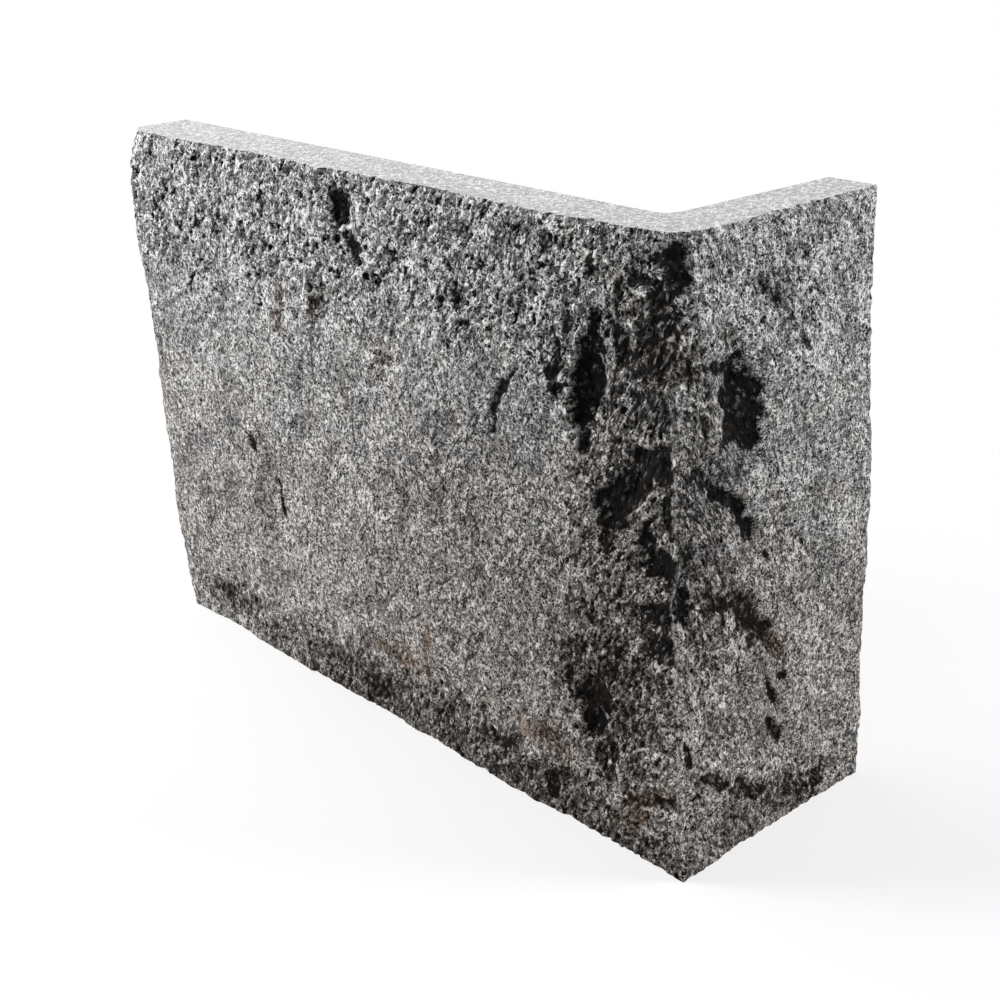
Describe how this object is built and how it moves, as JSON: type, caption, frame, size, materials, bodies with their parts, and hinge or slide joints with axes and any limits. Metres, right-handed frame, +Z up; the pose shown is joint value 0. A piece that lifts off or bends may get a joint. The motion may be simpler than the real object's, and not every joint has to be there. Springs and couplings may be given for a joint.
{
  "type": "stone cladding corner piece",
  "caption": "L-shaped granite corner for wall cladding: split rock faces on the outside, sawn backs, beds and ends.",
  "frame": {"origin": "the corner of the wall that the piece wraps, at the level of its foot bed, where the planes of its two sawn backs meet", "axes": "+Z up as laid; the long leg runs along -X with its rock face towards -Y; the short leg runs along +Y with its rock face towards +X"},
  "size_m": [0.4077, 0.1392, 0.285],
  "materials": {
    "granite": "split faces rough and dull, sawn faces flat and matt"
  },
  "bodies": {
    "root": {"corner_stone": "granite"}
  },
  "joints": []
}
